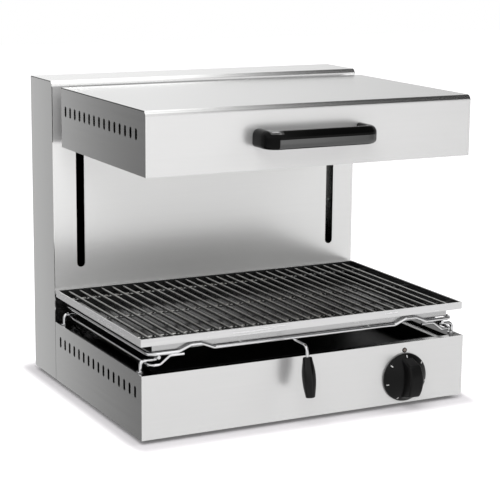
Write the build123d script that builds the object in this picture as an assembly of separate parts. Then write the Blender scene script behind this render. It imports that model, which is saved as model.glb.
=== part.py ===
from build123d import *
from math import cos, radians, sin
import os

# Lengths are in millimetres. Depths count back from the base's front face, heights up from its underside.

# Body
WIDTH = 600.0
BASE_DEPTH = 382.0
COLUMN_DEPTH = 105.0
BASE_HEIGHT = 105.0
BODY_HEIGHT = 527.0
SHEET = 1.2
COLUMN_BULLNOSE = 9.0
REAR_FLANGE = 15.0
FOOT_HEIGHT = 8.0
FOOT_RADIUS = 15.0
FOOT_INSET = 34.0

# Clearances
RUN_GAP = 0.3
FIT_GAP = 0.1
SEAT_GAP = 0.05

# Base top and drip tray
SIDE_FLANGE = 25.0
FRONT_FLANGE = 11.0
LEDGE_DROP = 7.0
LEDGE_WIDTH = 14.0
TRAY_SIDE_GAP = 1.5
TRAY_END_GAP = 3.0
TRAY_RIM = 15.0
TRAY_FRONT_RIM = 25.0
TRAY_DEPTH = 24.0

# Vent slots of the side sheets
VENT_WIDTH = 8.0
BASE_VENT_HEIGHT = 19.0
BASE_VENT_COUNT = 16
BASE_VENT_PITCH = 22.0
BASE_VENT_DROP = 31.5
HOOD_VENT_HEIGHT = 18.0
HOOD_VENT_COUNT = 15
HOOD_VENT_PITCH = 21.5
HOOD_VENT_DROP = 39.0

# Hood
HOOD_INSET = 6.0
HOOD_OVERHANG = 5.0
HOOD_GAP = 30.0
HOOD_DROP = 8.0
HOOD_HEIGHT = 101.5
HOOD_BULLNOSE = 9.6
HOOD_RETURN = 14.0
HOOD_TRAVEL = 210.0

# Reflector, elements and insulation
REFLECTOR_SHEET = 1.0
REFLECTOR_MARGIN = 21.0
REFLECTOR_HEIGHT = 50.0
INSULATION_THICKNESS = 30.0
INSULATION_INSET = 4.0
ELEMENT_RADIUS = 4.25
ELEMENT_COUNT = 3
ELEMENT_SIDE_GAP = 31.3
ELEMENT_DROP = 25.0
ELEMENT_END_GAP = 8.0
ELEMENT_OVERRUN = 12.0
SUPPORT_SHEET = 1.5
SUPPORT_OFFSET = 110.0
SUPPORT_EDGE = 7.0
TERMINAL_RADIUS = 6.5
TERMINAL_LENGTH = 6.0

# Hood handle
HANDLE_X = -10.0
HANDLE_LENGTH = 206.0
HANDLE_REACH = 51.5
HANDLE_HEIGHT = 29.0
HANDLE_BAR = 19.0
HANDLE_LEG = 17.0
HANDLE_CORNER = 26.0
HANDLE_INNER_CORNER = 9.0
HANDLE_EDGE = 7.0
HANDLE_DROP = 50.0
HANDLE_SCREW_RADIUS = 2.5
HANDLE_SCREW_HEAD_RADIUS = 5.0
HANDLE_SCREW_LENGTH = 22.0

# Lift: carriage, guide rods, ropes and counterweight
SLOT_INSET = 50.0
SLOT_WIDTH = 15.0
SLOT_OVERRUN = 11.0
ARM_THICKNESS = 8.0
ARM_LIFT = 2.5
ARM_HEIGHT = 70.0
ARM_FLANGE = 3.0
ARM_FLANGE_WIDTH = 40.0
ARM_BOLT_RADIUS = 3.0
ARM_BOLT_HEAD_RADIUS = 4.8
ARM_BOLT_INSET = 12.0
BOLT_HEAD = 4.0
CARRIAGE_SETBACK = 14.0
CARRIAGE_PLATE = 4.0
CARRIAGE_OVERHANG = 25.0
GUIDE_OFFSET = 50.0
GUIDE_RADIUS = 6.0
GUIDE_SETBACK = 32.0
BLOCK_WIDTH = 36.0
BLOCK_WALL = 7.0
BUSH_WALL = 2.7
BUSH_LENGTH = 20.0
BRACKET_DEPTH = 80.0
BRACKET_SETBACK = 16.0
LOWER_BRACKET = 12.0
UPPER_BRACKET = 6.0
UPPER_BRACKET_DROP = 11.0
ROPE_X = 60.0
ROPE_RADIUS = 1.5
PULLEY_PITCH_RADIUS = 21.0
PULLEY_FLANGE = 3.0
PULLEY_WIDTH = 10.0
PULLEY_DROP = 36.0
AXLE_RADIUS = 4.0
AXLE_HEAD = 2.0
AXLE_HEAD_RADIUS = 6.0
CHEEK = 3.0
CHEEK_HALF = 12.0
ANCHOR_WIDTH = 16.0
ANCHOR_HEIGHT = 12.0
ANCHOR_WALL = 8.0
WEIGHT_WIDTH = 300.0
WEIGHT_THICKNESS = 32.0
WEIGHT_HEIGHT = 162.0
WEIGHT_REST = 28.0
WEIGHT_ROD_X = 110.0
WEIGHT_ROD_RADIUS = 4.0

# Sliding rack
RAIL_INSET = 35.0
RAIL_RADIUS = 3.0
RAIL_HEIGHT = 23.5
RAIL_END_GAP = 12.0
LEG_INSET = 8.5
LEG_RADIUS = 3.0
LEG_END_INSET = 12.0
LEG_BEND = 8.0
LEG_ARM_DROP = 5.5
LEG_TAIL = 9.0
WASHER_RADIUS = 6.5
WASHER_HEIGHT = 1.5
NUT_RADIUS = 5.0
NUT_HEIGHT = 4.0
FRAME_INSET = 17.0
FRAME_RADIUS = 3.0
FRAME_BEND = 12.0
RUNNER_X = 120.0
HUMP_INSET = 100.0
HUMP_HALF_BASE = 31.0
HUMP_HALF_TOP = 10.0
HUMP_RISE = 8.5
HUMP_BEND = 10.0
GUARD_INSET = 19.0
GUARD_RADIUS = 2.25
GUARD_Z_DROP = 11.5
GUARD_BEND = 8.0
GUARD_RISE_START = 37.0
GUARD_RISE_END = 54.0
GUARD_TAIL_END = 78.0
WELD = 0.45
PULL_X = -25.0
PULL_REACH = 47.3
PULL_LEAN = 11.0
PULL_RADIUS = 2.75
PULL_BEND = 9.0
PULL_TAIL = 8.0
GRIP_TOP_DROP = 22.0
GRIP_LENGTH = 66.0
GRIP_WAIST = 30.0
GRIP_TOP_RADIUS = 7.5
GRIP_RADIUS = 11.5
GRIP_BOTTOM_RADIUS = 8.0
GRIP_BORE_DEPTH = 38.0

# Fat pan and grate
PAN_INSET = 25.0
PAN_FRONT = 17.0
PAN_BACK_GAP = 22.0
PAN_HEIGHT = 12.2
PAN_SHEET = 1.0
PAN_RIM_INSET = 4.0
GRATE_INSET = 1.0
GRATE_FRONT = 5.0
GRATE_BACK_GAP = 5.0
GRATE_BAND = 12.0
GRATE_BAND_SHEET = 2.5
BAR_RADIUS = 2.5
BAR_COUNT = 28
CROSS_RADIUS = 2.25
CROSS_SHARES = (0.12, 0.5, 0.9)

# Controls and supply
KNOB_INSET = 118.0
KNOB_Z = 45.5
KNOB_RADIUS = 41.5
KNOB_STANDOFF = 1.0
KNOB_RIM = 4.0
KNOB_CONE = 17.0
KNOB_CONE_TOP = 14.0
KNOB_GRIP_WIDTH = 25.0
KNOB_GRIP_LENGTH = 72.0
KNOB_GRIP_HEIGHT = 21.0
KNOB_GRIP_SLOPE = 9.0
KNOB_GRIP_CROWN = 8.0
KNOB_GRIP_EDGE = 3.0
KNOB_POCKET = 13.0
KNOB_POCKET_DEPTH = 4.5
SHAFT_RADIUS = 3.0
SHAFT_FRONT = 20.0
SHAFT_BACK = 22.0
NECK_RADIUS = 5.0
NECK_NUT_RADIUS = 9.0
NECK_NUT = 3.0
REGULATOR_SIZE = 46.0
REGULATOR_DEPTH = 36.0
LAMP_RISE = 46.5
LAMP_RADIUS = 4.2
LAMP_DOME = 2.0
LAMP_SEAT = 3.0
LAMP_BODY_RADIUS = 6.0
LAMP_BODY_LENGTH = 20.0
GLAND_INSET = 60.0
GLAND_Z = 60.0
GLAND_BORE = 5.0
GLAND_NECK = 10.0
GLAND_HEX = 13.0
GLAND_REACH = 16.0
GLAND_NUT = 5.0
BLOCK_TERMINAL_LENGTH = 60.0
BLOCK_TERMINAL_DEPTH = 26.0
BLOCK_TERMINAL_HEIGHT = 22.0
COVER_SCREW_RADIUS = 1.9
COVER_SCREW_HEAD = 4.0
COVER_SCREW_DOME = 2.2
COVER_SCREW_INSET = 40.0
COVER_SCREW_ROWS = 3

# Places that follow from the sizes
HALF = WIDTH / 2
INNER = HALF - SHEET
SLOT_X = HALF - SLOT_INSET
GUIDE_X = SLOT_X - GUIDE_OFFSET
COLUMN_BACK = BASE_DEPTH + COLUMN_DEPTH
COVER_INSIDE = COLUMN_BACK - SHEET
HOOD_HALF = HALF - HOOD_INSET
HOOD_INNER = HOOD_HALF - SHEET
HOOD_FRONT = -HOOD_OVERHANG
HOOD_BACK = BASE_DEPTH - HOOD_GAP
HOOD_TOP = BODY_HEIGHT - HOOD_DROP
HOOD_BOTTOM = HOOD_TOP - HOOD_HEIGHT
HOOD_INSIDE_BACK = HOOD_BACK - SHEET
RIM_Z = HOOD_BOTTOM + SHEET
REFLECTOR_TOP = RIM_Z + REFLECTOR_HEIGHT
REFLECTOR_HALF = HOOD_INNER - REFLECTOR_MARGIN
REFLECTOR_FRONT = HOOD_FRONT + SHEET + REFLECTOR_MARGIN
REFLECTOR_BACK = HOOD_INSIDE_BACK - REFLECTOR_MARGIN
ELEMENT_Z = REFLECTOR_TOP - ELEMENT_DROP
ELEMENT_SPREAD = REFLECTOR_BACK - REFLECTOR_FRONT - 2 * ELEMENT_SIDE_GAP
ELEMENT_PITCH = ELEMENT_SPREAD / (2 * ELEMENT_COUNT - 1)
HANDLE_Z = HOOD_TOP - HANDLE_DROP
ARM_Z = HOOD_BOTTOM + ARM_LIFT
CARRIAGE_Y = BASE_DEPTH + CARRIAGE_SETBACK
CARRIAGE_BACK = CARRIAGE_Y + CARRIAGE_PLATE
GUIDE_Y = BASE_DEPTH + GUIDE_SETBACK
BUSH_RADIUS = GUIDE_RADIUS + RUN_GAP + BUSH_WALL
BRACKET_FRONT = BASE_DEPTH + BRACKET_SETBACK
BRACKET_BACK = BRACKET_FRONT + BRACKET_DEPTH
UPPER_TOP = BODY_HEIGHT - UPPER_BRACKET_DROP
UPPER_BOTTOM = UPPER_TOP - UPPER_BRACKET
PULLEY_Y = GUIDE_Y + PULLEY_PITCH_RADIUS
PULLEY_Z = UPPER_BOTTOM - PULLEY_DROP
WEIGHT_Y = PULLEY_Y + PULLEY_PITCH_RADIUS
WEIGHT_TOP = WEIGHT_REST + WEIGHT_HEIGHT
ANCHOR_TOP = ARM_Z + ANCHOR_HEIGHT
LEDGE_Z = BASE_HEIGHT - LEDGE_DROP
TRAY_RIM_TOP = LEDGE_Z + 2 * SHEET
TRAY_HALF = HALF - SIDE_FLANGE - TRAY_SIDE_GAP
RAIL_Z = BASE_HEIGHT + RAIL_HEIGHT
RAIL_X = HALF - RAIL_INSET
LEG_X = HALF - LEG_INSET
RAIL_FRONT = RAIL_END_GAP
RAIL_BACK = BASE_DEPTH - RAIL_END_GAP
LEG_ROWS = (RAIL_FRONT + LEG_END_INSET, RAIL_BACK - LEG_END_INSET)
FRAME_Z = RAIL_Z + RAIL_RADIUS + RUN_GAP + FRAME_RADIUS
FRAME_HALF = HALF - FRAME_INSET
HUMP_X = HALF - HUMP_INSET
GUARD_X = HALF - GUARD_INSET
GUARD_Z = RAIL_Z - GUARD_Z_DROP
PULL_Z = FRAME_Z - FRAME_RADIUS - PULL_RADIUS + 2 * WELD
GRIP_TOP = FRAME_Z - GRIP_TOP_DROP
GRIP_Y = -PULL_REACH + GRIP_LENGTH * sin(radians(PULL_LEAN))
PAN_Z = FRAME_Z + FRAME_RADIUS + SEAT_GAP
PAN_TOP = PAN_Z + PAN_HEIGHT
PAN_HALF = HALF - PAN_INSET
PAN_BACK = BASE_DEPTH - PAN_BACK_GAP
GRATE_Z = PAN_TOP + RUN_GAP
GRATE_HALF = HALF - GRATE_INSET
GRATE_BACK = BASE_DEPTH - GRATE_BACK_GAP
CROSS_Z = GRATE_Z + CROSS_RADIUS
BAR_Z = CROSS_Z + CROSS_RADIUS + SEAT_GAP + BAR_RADIUS
KNOB_X = HALF - KNOB_INSET
LAMP_Z = KNOB_Z + LAMP_RISE
GLAND_X = HALF - GLAND_INSET
REACH_FRONT = min(-PULL_REACH - GRIP_BOTTOM_RADIUS, HOOD_FRONT - HANDLE_REACH)
REACH_BACK = COLUMN_BACK + GLAND_REACH
FRAME_Y = -(REACH_FRONT + REACH_BACK) / 2
SIDES = (-1, 1)


def save(node, *pieces):
    """Write one node's pieces in the part's frame, whose origin is on the floor under the middle."""
    place = Pos(0, FRAME_Y, FOOT_HEIGHT)
    solids = [place * solid for piece in pieces for solid in piece.solids()]
    export_step(Compound(solids), f"parts/{node}.step")


def block(x0, x1, y0, y1, z0, z1):
    """A rectangular block given by its limits."""
    centre = Pos((x0 + x1) / 2, (y0 + y1) / 2, (z0 + z1) / 2)
    return centre * Box(x1 - x0, y1 - y0, z1 - z0)


def side_block(side, near, far, y0, y1, z0, z1):
    """A block between two distances from the middle plane, on one side."""
    x0, x1 = sorted((side * near, side * far))
    return block(x0, x1, y0, y1, z0, z1)


def bar(start, end, radius):
    """A round bar between two points."""
    along = Vector(*end) - Vector(*start)
    return Solid.make_cylinder(radius, along.length, Plane(Vector(*start), z_dir=along))


def upright(x, y, z0, z1, radius):
    """A vertical round bar."""
    return bar((x, y, z0), (x, y, z1), radius)


def across(x, z, y0, y1, radius):
    """A round bar along the depth."""
    return bar((x, y0, z), (x, y1, z), radius)


def wire(points, bend, radius):
    """A round wire along straight runs joined by bends of one radius."""
    path = FilletPolyline(*points, radius=bend)
    start = Plane(path @ 0, z_dir=path % 0)
    return sweep(start * Circle(radius), path=path)


def rounded_front(piece, radius):
    """The piece with its upper front edge rounded."""
    edge = piece.edges().filter_by(Axis.X).group_by(Axis.Z)[-1].sort_by(Axis.Y)[0]
    return fillet(edge, radius)


def bent_cover(half, y0, y1, z0, z1, radius):
    """One sheet folded over a round nose: the front wall and the top."""
    outer = rounded_front(block(-half, half, y0, y1, z0, z1), radius)
    hollow = block(-half, half, y0 + SHEET, y1 + SHEET, z0 - SHEET, z1 - SHEET)
    return outer - rounded_front(hollow, radius - SHEET)


def side_sheet(side, outer, y0, y1, z0, z1, radius):
    """A flat side sheet whose upper front corner follows the round nose."""
    return rounded_front(side_block(side, outer - SHEET, outer, y0, y1, z0, z1), radius)


def vent_row(x, middle_y, z, count, pitch, height):
    """Cutters for a row of upright slots with round ends, through a side sheet."""
    slot = extrude(Plane.YZ * SlotOverall(height, VENT_WIDTH, rotation=90), 2 * SHEET, both=True)
    first = middle_y - pitch * (count - 1) / 2
    return [Pos(x, first + pitch * i, z) * slot for i in range(count)]


def pan(half, y0, y1, z0, z1, sheet):
    """A shallow open-topped pan of sheet."""
    outside = block(-half, half, y0, y1, z0, z1)
    return outside - block(-half + sheet, half - sheet, y0 + sheet, y1 - sheet, z0 + sheet, z1 + sheet)


def base():
    """Front panel, slotted sides with their flanges and ledges, floor and feet."""
    flange_inner = HALF - SIDE_FLANGE
    panel = block(-HALF, HALF, 0, SHEET, 0, BASE_HEIGHT)
    flange_half = flange_inner - RUN_GAP
    panel += block(-flange_half, flange_half, SHEET, FRONT_FLANGE, BASE_HEIGHT - SHEET, BASE_HEIGHT)
    panel -= across(KNOB_X, KNOB_Z, -SHEET, 2 * SHEET, NECK_RADIUS + FIT_GAP)
    panel -= across(KNOB_X, LAMP_Z, -SHEET, 2 * SHEET, LAMP_RADIUS + FIT_GAP)
    save("base_front_panel", panel)
    for side, name in zip(SIDES, ("base_side_left", "base_side_right")):
        sheet = side_block(side, INNER, HALF, SHEET, BASE_DEPTH, 0, BASE_HEIGHT)
        sheet += side_block(side, flange_inner, HALF, SHEET, BASE_DEPTH, BASE_HEIGHT - SHEET, BASE_HEIGHT)
        lip_outer = flange_inner + SHEET
        sheet += side_block(side, flange_inner, lip_outer, SHEET, BASE_DEPTH, LEDGE_Z, BASE_HEIGHT)
        ledge_inner = flange_inner - LEDGE_WIDTH
        sheet += side_block(side, ledge_inner, lip_outer, SHEET, BASE_DEPTH, LEDGE_Z, LEDGE_Z + SHEET)
        vent_z = BASE_HEIGHT - BASE_VENT_DROP
        row = (BASE_VENT_COUNT, BASE_VENT_PITCH, BASE_VENT_HEIGHT)
        sheet -= vent_row(side * HALF, BASE_DEPTH / 2, vent_z, *row)
        for y in LEG_ROWS:
            hole = LEG_RADIUS + FIT_GAP
            sheet -= upright(side * LEG_X, y, BASE_HEIGHT - 2 * SHEET, BASE_HEIGHT + SHEET, hole)
        save(name, sheet)
    save("base_floor", block(-INNER, INNER, SHEET, COVER_INSIDE, 0, SHEET))
    foot_rows = (FOOT_INSET, COLUMN_BACK - FOOT_INSET)
    foot_x = HALF - FOOT_INSET
    places = [(s * foot_x, y) for s in SIDES for y in foot_rows]
    save("base_feet", *[upright(x, y, -FOOT_HEIGHT, 0, FOOT_RADIUS) for x, y in places])


def drip_tray():
    """Black tray whose rim lies on the ledges of the base sides."""
    back = BASE_DEPTH - TRAY_END_GAP
    rim_bottom = TRAY_RIM_TOP - SHEET
    well_half = TRAY_HALF - TRAY_RIM
    well_front = TRAY_END_GAP + TRAY_FRONT_RIM
    well_back = back - TRAY_RIM
    tray = block(-TRAY_HALF, TRAY_HALF, TRAY_END_GAP, back, rim_bottom, TRAY_RIM_TOP)
    tray += block(-well_half, well_half, well_front, well_back, TRAY_RIM_TOP - TRAY_DEPTH, TRAY_RIM_TOP)
    inside = well_half - SHEET
    floor = TRAY_RIM_TOP - TRAY_DEPTH + SHEET
    tray -= block(-inside, inside, well_front + SHEET, well_back - SHEET, floor, TRAY_RIM_TOP + SHEET)
    save("drip_tray", tray)


def column():
    """Slotted front and top in one bent sheet, two sides, the rear cover and its screws."""
    front = bent_cover(INNER, BASE_DEPTH, COVER_INSIDE, SHEET, BODY_HEIGHT, COLUMN_BULLNOSE)
    slot_bottom = ARM_Z - HOOD_TRAVEL - SLOT_OVERRUN
    slot_top = ARM_Z + ARM_HEIGHT + SLOT_WIDTH
    outline = SlotOverall(slot_top - slot_bottom, SLOT_WIDTH, rotation=90)
    slot = extrude(Plane.XZ * outline, 2 * SHEET, both=True)
    front -= [Pos(s * SLOT_X, BASE_DEPTH, (slot_bottom + slot_top) / 2) * slot for s in SIDES]
    save("column_front", front)
    screw_step = (BODY_HEIGHT - 2 * COVER_SCREW_INSET) / (COVER_SCREW_ROWS - 1)
    screw_x = INNER - REAR_FLANGE / 2
    rows = [COVER_SCREW_INSET + screw_step * i for i in range(COVER_SCREW_ROWS)]
    screws = [(s * screw_x, z) for s in SIDES for z in rows]
    hole_ends = (COVER_INSIDE - 2 * SHEET, COLUMN_BACK + SHEET)
    holes = [across(x, z, *hole_ends, COVER_SCREW_RADIUS + FIT_GAP) for x, z in screws]
    for side, name in zip(SIDES, ("column_side_left", "column_side_right")):
        sheet = side_sheet(side, HALF, BASE_DEPTH, COLUMN_BACK, 0, BODY_HEIGHT, COLUMN_BULLNOSE)
        flange = (COVER_INSIDE - SHEET, COVER_INSIDE, SHEET, BODY_HEIGHT - SHEET)
        sheet += side_block(side, INNER - REAR_FLANGE, INNER, *flange)
        save(name, sheet - holes)
    cover = block(-INNER, INNER, COVER_INSIDE, COLUMN_BACK, 0, BODY_HEIGHT) - holes
    cover -= across(GLAND_X, GLAND_Z, COVER_INSIDE - SHEET, COLUMN_BACK + SHEET, GLAND_NECK + FIT_GAP)
    save("column_rear_cover", cover)
    shank_end = COVER_INSIDE - 2 * SHEET
    heads = [across(x, z, COLUMN_BACK, COLUMN_BACK + COVER_SCREW_DOME, COVER_SCREW_HEAD) for x, z in screws]
    shanks = [across(x, z, shank_end, COLUMN_BACK, COVER_SCREW_RADIUS) for x, z in screws]
    save("rear_cover_screws", *[head + shank for head, shank in zip(heads, shanks)])


def lift_guides():
    """Brackets that hold the guide rods of the carriage and of the counterweight."""
    guides = [(s * GUIDE_X, GUIDE_Y) for s in SIDES]
    weights = [(s * WEIGHT_ROD_X, WEIGHT_Y) for s in SIDES]
    save("guide_rods", *[upright(x, y, SHEET, UPPER_TOP, GUIDE_RADIUS) for x, y in guides])
    save("weight_rods", *[upright(x, y, SHEET, UPPER_TOP, WEIGHT_ROD_RADIUS) for x, y in weights])
    holes = [upright(x, y, 0, BODY_HEIGHT, GUIDE_RADIUS + FIT_GAP) for x, y in guides]
    holes += [upright(x, y, 0, BODY_HEIGHT, WEIGHT_ROD_RADIUS + FIT_GAP) for x, y in weights]
    lower = block(-INNER, INNER, BRACKET_FRONT, BRACKET_BACK, SHEET, SHEET + LOWER_BRACKET)
    upper = block(-INNER, INNER, BRACKET_FRONT, BRACKET_BACK, UPPER_BOTTOM, UPPER_TOP)
    save("lower_rod_bracket", lower - holes)
    save("upper_rod_bracket", upper - holes)


def pulleys():
    """Two grooved pulleys on axles in brackets under the upper rod bracket."""
    inner = PULLEY_WIDTH / 2 + RUN_GAP
    outer = inner + CHEEK
    brackets = []
    axles = []
    for side, name in zip(SIDES, ("rope_pulley_left", "rope_pulley_right")):
        x = side * ROPE_X
        rim = PULLEY_PITCH_RADIUS + PULLEY_FLANGE
        groove = ROPE_RADIUS + RUN_GAP
        spin = Plane((x, PULLEY_Y, PULLEY_Z), x_dir=(0, 1, 0), z_dir=(1, 0, 0))
        wheel = spin * Cylinder(rim, PULLEY_WIDTH)
        channel = spin * Cylinder(rim + groove, 2 * groove)
        core = spin * Cylinder(PULLEY_PITCH_RADIUS, 2 * groove)
        wheel -= channel - core
        wheel -= spin * Torus(PULLEY_PITCH_RADIUS, groove)
        hole = spin * Cylinder(AXLE_RADIUS + RUN_GAP, 2 * (outer + AXLE_HEAD))
        save(name, wheel - hole)
        y0 = PULLEY_Y - CHEEK_HALF
        y1 = PULLEY_Y + CHEEK_HALF
        z0 = PULLEY_Z - CHEEK_HALF
        cheeks = block(x - outer, x + outer, y0, y1, z0, UPPER_BOTTOM)
        cheeks -= block(x - inner, x + inner, y0, y1, z0, UPPER_BOTTOM - CHEEK)
        brackets.append(cheeks - spin * Cylinder(AXLE_RADIUS + FIT_GAP, 2 * (outer + AXLE_HEAD)))
        head = spin * Pos(0, 0, side * (outer + AXLE_HEAD / 2)) * Cylinder(AXLE_HEAD_RADIUS, AXLE_HEAD)
        axles.append(head + spin * Cylinder(AXLE_RADIUS, 2 * outer))
    save("pulley_brackets", *brackets)
    save("pulley_axles", *axles)


def ropes():
    """Lift ropes: a run down to the carriage, half a turn round the pulley and a run down to the weight."""
    places = [s * ROPE_X for s in SIDES]
    save("rope_front_runs", *[upright(x, GUIDE_Y, ANCHOR_TOP, PULLEY_Z, ROPE_RADIUS) for x in places])
    save("rope_rear_runs", *[upright(x, WEIGHT_Y, WEIGHT_TOP, PULLEY_Z, ROPE_RADIUS) for x in places])
    turns = []
    for x in places:
        bottom = (x, GUIDE_Y, PULLEY_Z)
        crown = (x, PULLEY_Y, PULLEY_Z + PULLEY_PITCH_RADIUS)
        arc = ThreePointArc(bottom, crown, (x, WEIGHT_Y, PULLEY_Z))
        turns.append(sweep(Plane(bottom, z_dir=(0, 0, 1)) * Circle(ROPE_RADIUS), path=arc))
    save("rope_turns", *turns)


def carriage():
    """Plate behind the column front, its bushed blocks, rope anchors and the arms through the slots."""
    top = ARM_Z + ARM_HEIGHT
    half = SLOT_X + CARRIAGE_OVERHANG
    save("carriage_plate", block(-half, half, CARRIAGE_Y, CARRIAGE_BACK, ARM_Z, top))
    blocks = []
    bushes = []
    back = GUIDE_Y + BUSH_RADIUS + BLOCK_WALL
    for side in SIDES:
        x = side * GUIDE_X
        body = block(x - BLOCK_WIDTH / 2, x + BLOCK_WIDTH / 2, CARRIAGE_BACK, back, ARM_Z, top)
        blocks.append(body - upright(x, GUIDE_Y, ARM_Z - SHEET, top + SHEET, BUSH_RADIUS + FIT_GAP))
        for z in (ARM_Z, top - BUSH_LENGTH):
            bore = upright(x, GUIDE_Y, z - SHEET, z + BUSH_LENGTH + SHEET, GUIDE_RADIUS + RUN_GAP)
            bushes.append(upright(x, GUIDE_Y, z, z + BUSH_LENGTH, BUSH_RADIUS) - bore)
    save("carriage_blocks", *blocks)
    save("guide_bushes", *bushes)
    anchor_back = GUIDE_Y + ANCHOR_WALL
    anchor_half = ANCHOR_WIDTH / 2
    limits = (CARRIAGE_BACK, anchor_back, ARM_Z, ANCHOR_TOP)
    anchors = [(s * ROPE_X - anchor_half, s * ROPE_X + anchor_half) for s in SIDES]
    save("rope_anchors", *[block(x0, x1, *limits) for x0, x1 in anchors])
    flange_back = HOOD_BACK + ARM_FLANGE
    for side, name in zip(SIDES, ("hood_arm_left", "hood_arm_right")):
        x = side * SLOT_X
        arm = block(x - ARM_FLANGE_WIDTH / 2, x + ARM_FLANGE_WIDTH / 2, HOOD_BACK, flange_back, ARM_Z, top)
        arm += block(x - ARM_THICKNESS / 2, x + ARM_THICKNESS / 2, HOOD_BACK, CARRIAGE_Y, ARM_Z, top)
        hole_ends = (HOOD_BACK - SHEET, flange_back + SHEET)
        holes = [across(bx, z, *hole_ends, ARM_BOLT_RADIUS + FIT_GAP) for bx, z in arm_bolt_places()]
        save(name, arm - holes)
    bolts = []
    for x, z in arm_bolt_places():
        shank = across(x, z, HOOD_INSIDE_BACK - BOLT_HEAD, flange_back, ARM_BOLT_RADIUS)
        bolts.append(shank + across(x, z, flange_back, flange_back + BOLT_HEAD, ARM_BOLT_HEAD_RADIUS))
    save("arm_bolts", *bolts)


def arm_bolt_places():
    """Where the bolts that hold the arms to the hood sit, as x and z."""
    rows = (ARM_Z + ARM_BOLT_INSET, ARM_Z + ARM_HEIGHT - ARM_BOLT_INSET)
    return [(s * SLOT_X + t * ARM_BOLT_INSET, z) for s in SIDES for t in SIDES for z in rows]


def counterweight():
    """Steel bar that balances the hood, bored for its two rods."""
    y0 = WEIGHT_Y - WEIGHT_THICKNESS / 2
    y1 = WEIGHT_Y + WEIGHT_THICKNESS / 2
    weight = block(-WEIGHT_WIDTH / 2, WEIGHT_WIDTH / 2, y0, y1, WEIGHT_REST, WEIGHT_TOP)
    bore = WEIGHT_ROD_RADIUS + RUN_GAP
    save("counterweight", weight - [upright(s * WEIGHT_ROD_X, WEIGHT_Y, 0, BODY_HEIGHT, bore) for s in SIDES])


def hood_shell():
    """Bent cover, slotted sides and back of the heating hood."""
    cover = bent_cover(HOOD_INNER, HOOD_FRONT, HOOD_INSIDE_BACK, HOOD_BOTTOM, HOOD_TOP, HOOD_BULLNOSE)
    cover += block(-HOOD_INNER, HOOD_INNER, HOOD_FRONT, HOOD_FRONT + HOOD_RETURN, HOOD_BOTTOM, RIM_Z)
    hole_ends = (HOOD_FRONT - SHEET, HOOD_FRONT + 2 * SHEET)
    hole = HANDLE_SCREW_RADIUS + FIT_GAP
    save("hood_cover", cover - [across(x, HANDLE_Z, *hole_ends, hole) for x in handle_screw_places()])
    vent_z = HOOD_TOP - HOOD_VENT_DROP
    middle = (HOOD_FRONT + HOOD_BACK) / 2 + HOOD_BULLNOSE - SHEET
    for side, name in zip(SIDES, ("hood_side_left", "hood_side_right")):
        sheet = side_sheet(side, HOOD_HALF, HOOD_FRONT, HOOD_BACK, HOOD_BOTTOM, HOOD_TOP, HOOD_BULLNOSE)
        row = (HOOD_VENT_COUNT, HOOD_VENT_PITCH, HOOD_VENT_HEIGHT)
        save(name, sheet - vent_row(side * HOOD_HALF, middle, vent_z, *row))
    back = block(-HOOD_INNER, HOOD_INNER, HOOD_INSIDE_BACK, HOOD_BACK, HOOD_BOTTOM, HOOD_TOP)
    hole_ends = (HOOD_INSIDE_BACK - SHEET, HOOD_BACK + SHEET)
    bolts = arm_bolt_places()
    save("hood_back", back - [across(x, z, *hole_ends, ARM_BOLT_RADIUS + FIT_GAP) for x, z in bolts])


def element_legs():
    """Depths of the element's straight runs, evenly spread under the reflector."""
    middle = (REFLECTOR_FRONT + REFLECTOR_BACK) / 2
    count = 2 * ELEMENT_COUNT
    return [middle + ELEMENT_PITCH * (i - (count - 1) / 2) for i in range(count)]


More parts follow.
